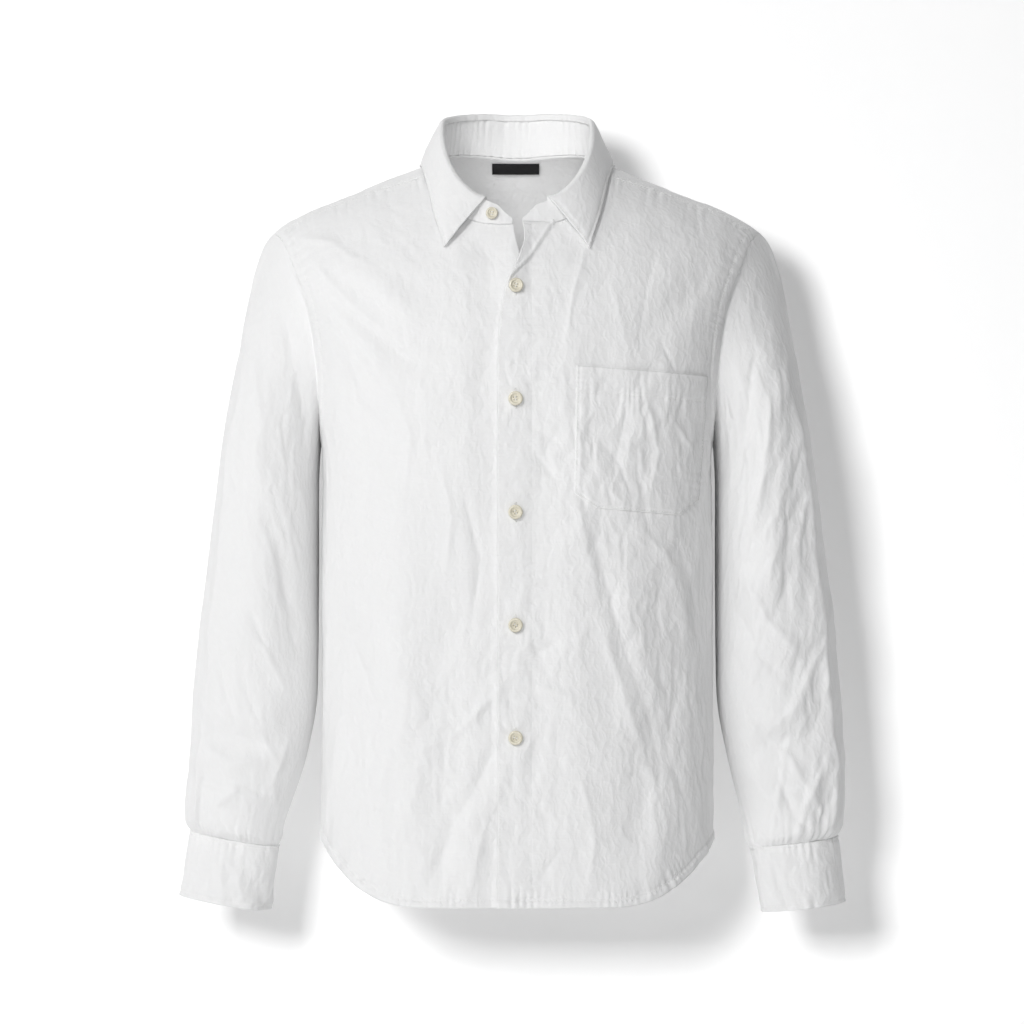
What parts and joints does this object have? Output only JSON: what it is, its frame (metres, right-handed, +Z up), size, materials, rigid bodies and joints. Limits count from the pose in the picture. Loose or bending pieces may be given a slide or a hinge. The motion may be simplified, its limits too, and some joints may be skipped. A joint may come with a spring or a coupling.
{
  "type": "shirt",
  "caption": "Long-sleeved button-front shirt in crumpled poplin, filled out as worn and hollow, with a point collar, chest pocket, buttoned cuffs and shirt-tail hem",
  "frame": {"origin": "middle of the neck, level with the neck ends of the shoulders, where a wearer carries the shirt", "axes": "+Z up, -Y is the front with the button placket, +X is the wearer's left"},
  "size_m": [0.6371, 0.2451, 0.768],
  "materials": {
    "poplin": "washed cotton poplin, matte, crumpled",
    "label_cloth": "tightly woven black tape, bare",
    "button_resin": "polished off-white resin with a pearl cast"
  },
  "bodies": {
    "root": {"front_left": "poplin", "front_right": "poplin", "back": "poplin", "yoke": "poplin", "sleeve_left": "poplin", "sleeve_right": "poplin", "cuff_left": "poplin", "cuff_right": "poplin", "collar_stand": "poplin", "collar_leaf": "poplin", "placket": "poplin", "pocket": "poplin", "label": "label_cloth", "button_1": "button_resin", "button_2": "button_resin", "button_3": "button_resin", "button_4": "button_resin", "button_5": "button_resin", "button_stand": "button_resin", "cuff_button_left": "button_resin", "cuff_button_right": "button_resin"}
  },
  "joints": []
}
